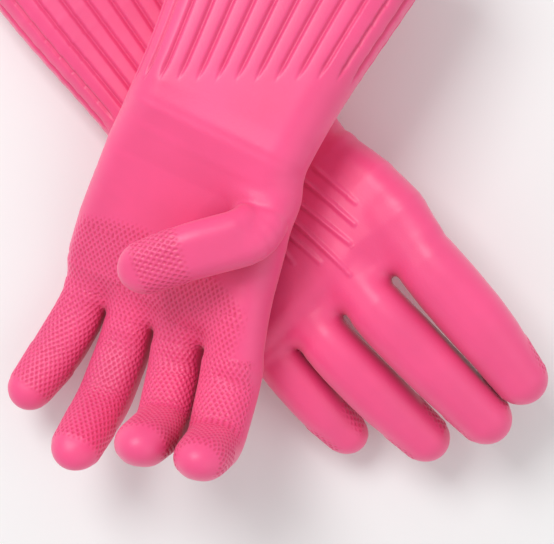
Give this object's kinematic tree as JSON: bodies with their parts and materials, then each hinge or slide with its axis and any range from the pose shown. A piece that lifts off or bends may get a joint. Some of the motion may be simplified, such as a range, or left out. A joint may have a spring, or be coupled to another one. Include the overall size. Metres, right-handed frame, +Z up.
{
  "type": "rubber household gloves, pair",
  "caption": "Crossed pair of long-cuffed latex household gloves, palm up over palm down, with a dimpled grip, bending wrists, fingers and thumbs, and open hollow cuffs",
  "frame": {"origin": "middle of the flat face under the right glove's cuff, where the lower glove rests on the table", "axes": "+Z is up from the table; -Y is the way the fingers of both gloves point, on average; +X is the side that the right glove's fingers point to"},
  "size_m": [0.2609, 0.2909, 0.1073],
  "materials": {
    "latex": "satin dipped pink latex, finely mottled, with a raised grip net on the palm side",
    "latex_flex": "satin dipped pink latex, where the moulding flexes",
    "latex_bead": "smooth rolled pink latex bead"
  },
  "bodies": {
    "left_cuff_body": {"left_cuff_bead": "latex_bead", "left_cuff": "latex"},
    "left_palm_body": {"left_wrist": "latex_flex", "left_palm": "latex"},
    "left_index_base_body": {"left_index_root": "latex_flex", "left_index_base": "latex"},
    "left_index_tip_body": {"left_index_knuckle": "latex_flex", "left_index_tip": "latex"},
    "left_middle_base_body": {"left_middle_root": "latex_flex", "left_middle_base": "latex"},
    "left_middle_tip_body": {"left_middle_knuckle": "latex_flex", "left_middle_tip": "latex"},
    "left_ring_base_body": {"left_ring_root": "latex_flex", "left_ring_base": "latex"},
    "left_ring_tip_body": {"left_ring_knuckle": "latex_flex", "left_ring_tip": "latex"},
    "left_pinky_base_body": {"left_pinky_root": "latex_flex", "left_pinky_base": "latex"},
    "left_pinky_tip_body": {"left_pinky_knuckle": "latex_flex", "left_pinky_tip": "latex"},
    "left_thumb_base_body": {"left_thumb_root": "latex_flex", "left_thumb_base": "latex"},
    "left_thumb_tip_body": {"left_thumb_knuckle": "latex_flex", "left_thumb_tip": "latex"},
    "right_cuff_body": {"right_cuff_bead": "latex_bead", "right_cuff": "latex"},
    "right_palm_body": {"right_wrist": "latex_flex", "right_palm": "latex"},
    "right_index_base_body": {"right_index_root": "latex_flex", "right_index_base": "latex"},
    "right_index_tip_body": {"right_index_knuckle": "latex_flex", "right_index_tip": "latex"},
    "right_middle_base_body": {"right_middle_root": "latex_flex", "right_middle_base": "latex"},
    "right_middle_tip_body": {"right_middle_knuckle": "latex_flex", "right_middle_tip": "latex"},
    "right_ring_base_body": {"right_ring_root": "latex_flex", "right_ring_base": "latex"},
    "right_ring_tip_body": {"right_ring_knuckle": "latex_flex", "right_ring_tip": "latex"},
    "right_pinky_base_body": {"right_pinky_root": "latex_flex", "right_pinky_base": "latex"},
    "right_pinky_tip_body": {"right_pinky_knuckle": "latex_flex", "right_pinky_tip": "latex"},
    "right_thumb_base_body": {"right_thumb_root": "latex_flex", "right_thumb_base": "latex"},
    "right_thumb_tip_body": {"right_thumb_knuckle": "latex_flex", "right_thumb_tip": "latex"}
  },
  "joints": [
    {"name": "left_glove_lift", "type": "slide", "parent": "right_cuff_body", "child": "left_cuff_body", "axis": [0, 0, 1], "range_m": [0, 0.15]},
    {"name": "left_wrist", "type": "hinge", "parent": "left_cuff_body", "child": "left_palm_body", "pos_m": [0.0543, -0.08356, 0.068], "axis": [-0.8769, 0.4627, -0.1304], "range_deg": [0, 35], "deforming": ["left_wrist"]},
    {"name": "right_wrist", "type": "hinge", "parent": "right_cuff_body", "child": "right_palm_body", "pos_m": [0.0563, -0.08506, 0.021], "axis": [0.8339, 0.5519, 0], "range_deg": [0, 35], "deforming": ["right_wrist"]},
    {"name": "left_thumb_root", "type": "hinge", "parent": "left_palm_body", "child": "left_thumb_base_body", "pos_m": [0.06959, -0.13057, 0.0825], "axis": [0.1257, -0.148, 0.981], "range_deg": [-12, 28], "deforming": ["left_thumb_root"]},
    {"name": "left_thumb_knuckle", "type": "hinge", "parent": "left_thumb_base_body", "child": "left_thumb_tip_body", "pos_m": [0.04167, -0.13802, 0.08496], "axis": [-0.1133, -0.1828, 0.9766], "range_deg": [-25, 30], "deforming": ["left_thumb_knuckle"]},
    {"name": "left_index_root", "type": "hinge", "parent": "left_palm_body", "child": "left_index_base_body", "pos_m": [0.05874, -0.19557, 0.05223], "axis": [-0.9752, 0.1436, -0.1685], "range_deg": [-38, 20], "deforming": ["left_index_root"]},
    {"name": "left_index_knuckle", "type": "hinge", "parent": "left_index_base_body", "child": "left_index_tip_body", "pos_m": [0.05252, -0.22139, 0.06617], "axis": [-0.9752, 0.1436, -0.1685], "range_deg": [-45, 6], "deforming": ["left_index_knuckle"]},
    {"name": "left_middle_root", "type": "hinge", "parent": "left_palm_body", "child": "left_middle_base_body", "pos_m": [0.03422, -0.18923, 0.0371], "axis": [-0.9756, 0.0767, -0.2056], "range_deg": [-38, 20], "deforming": ["left_middle_root"]},
    {"name": "left_middle_knuckle", "type": "hinge", "parent": "left_middle_base_body", "child": "left_middle_tip_body", "pos_m": [0.02917, -0.21513, 0.05139], "axis": [-0.9756, 0.0767, -0.2056], "range_deg": [-45, 9], "deforming": ["left_middle_knuckle"]},
    {"name": "left_ring_root", "type": "hinge", "parent": "left_palm_body", "child": "left_ring_base_body", "pos_m": [0.00985, -0.17932, 0.02638], "axis": [-0.9311, 0.3271, -0.1617], "range_deg": [-35, 32], "deforming": ["left_ring_root"]},
    {"name": "left_ring_knuckle", "type": "hinge", "parent": "left_ring_base_body", "child": "left_ring_tip_body", "pos_m": [-0.00004, -0.20505, 0.03127], "axis": [-0.9311, 0.3271, -0.1617], "range_deg": [-35, 25], "deforming": ["left_ring_knuckle"]},
    {"name": "left_pinky_root", "type": "hinge", "parent": "left_palm_body", "child": "left_pinky_base_body", "pos_m": [-0.01104, -0.16258, 0.02072], "axis": [-0.832, 0.5442, -0.1077], "range_deg": [-30, 40], "deforming": ["left_pinky_root"]},
    {"name": "left_pinky_knuckle", "type": "hinge", "parent": "left_pinky_base_body", "child": "left_pinky_tip_body", "pos_m": [-0.02415, -0.18268, 0.02046], "axis": [-0.832, 0.5442, -0.1077], "range_deg": [-25, 40], "deforming": ["left_pinky_knuckle"]},
    {"name": "right_thumb_root", "type": "hinge", "parent": "right_palm_body", "child": "right_thumb_base_body", "pos_m": [0.10404, -0.09543, 0.00979], "axis": [-0.1782, 0.038, 0.9833], "range_deg": [-15, 50], "deforming": ["right_thumb_root"]},
    {"name": "right_thumb_knuckle", "type": "hinge", "parent": "right_thumb_base_body", "child": "right_thumb_tip_body", "pos_m": [0.09629, -0.12337, 0.00947], "axis": [-0.1449, 0.1533, 0.9775], "range_deg": [-20, 30], "deforming": ["right_thumb_knuckle"]},
    {"name": "right_index_root", "type": "hinge", "parent": "right_palm_body", "child": "right_index_base_body", "pos_m": [0.15093, -0.14865, 0.05473], "axis": [0.7735, 0.6037, 0.1931], "range_deg": [-30, 42], "deforming": ["right_index_root"]},
    {"name": "right_index_knuckle", "type": "hinge", "parent": "right_index_base_body", "child": "right_index_tip_body", "pos_m": [0.16947, -0.17222, 0.05414], "axis": [0.7735, 0.6037, 0.1931], "range_deg": [-20, 42], "deforming": ["right_index_knuckle"]},
    {"name": "right_middle_root", "type": "hinge", "parent": "right_palm_body", "child": "right_middle_base_body", "pos_m": [0.12901, -0.16844, 0.04825], "axis": [0.7044, 0.6895, 0.1688], "range_deg": [-30, 42], "deforming": ["right_middle_root"]},
    {"name": "right_middle_knuckle", "type": "hinge", "parent": "right_middle_base_body", "child": "right_middle_tip_body", "pos_m": [0.15001, -0.18986, 0.0481], "axis": [0.7044, 0.6895, 0.1688], "range_deg": [-20, 38], "deforming": ["right_middle_knuckle"]},
    {"name": "right_ring_root", "type": "hinge", "parent": "right_palm_body", "child": "right_ring_base_body", "pos_m": [0.10673, -0.18326, 0.03834], "axis": [0.6991, 0.6956, 0.1653], "range_deg": [-30, 45], "deforming": ["right_ring_root"]},
    {"name": "right_ring_knuckle", "type": "hinge", "parent": "right_ring_base_body", "child": "right_ring_tip_body", "pos_m": [0.12659, -0.20297, 0.03729], "axis": [0.6991, 0.6956, 0.1653], "range_deg": [-18, 45], "deforming": ["right_ring_knuckle"]},
    {"name": "right_pinky_root", "type": "hinge", "parent": "right_palm_body", "child": "right_pinky_base_body", "pos_m": [0.08293, -0.19018, 0.02741], "axis": [0.7353, 0.6568, 0.1672], "range_deg": [-25, 50], "deforming": ["right_pinky_root"]},
    {"name": "right_pinky_knuckle", "type": "hinge", "parent": "right_pinky_base_body", "child": "right_pinky_tip_body", "pos_m": [0.09912, -0.20777, 0.02531], "axis": [0.7353, 0.6568, 0.1672], "range_deg": [-17, 50], "deforming": ["right_pinky_knuckle"]}
  ]
}
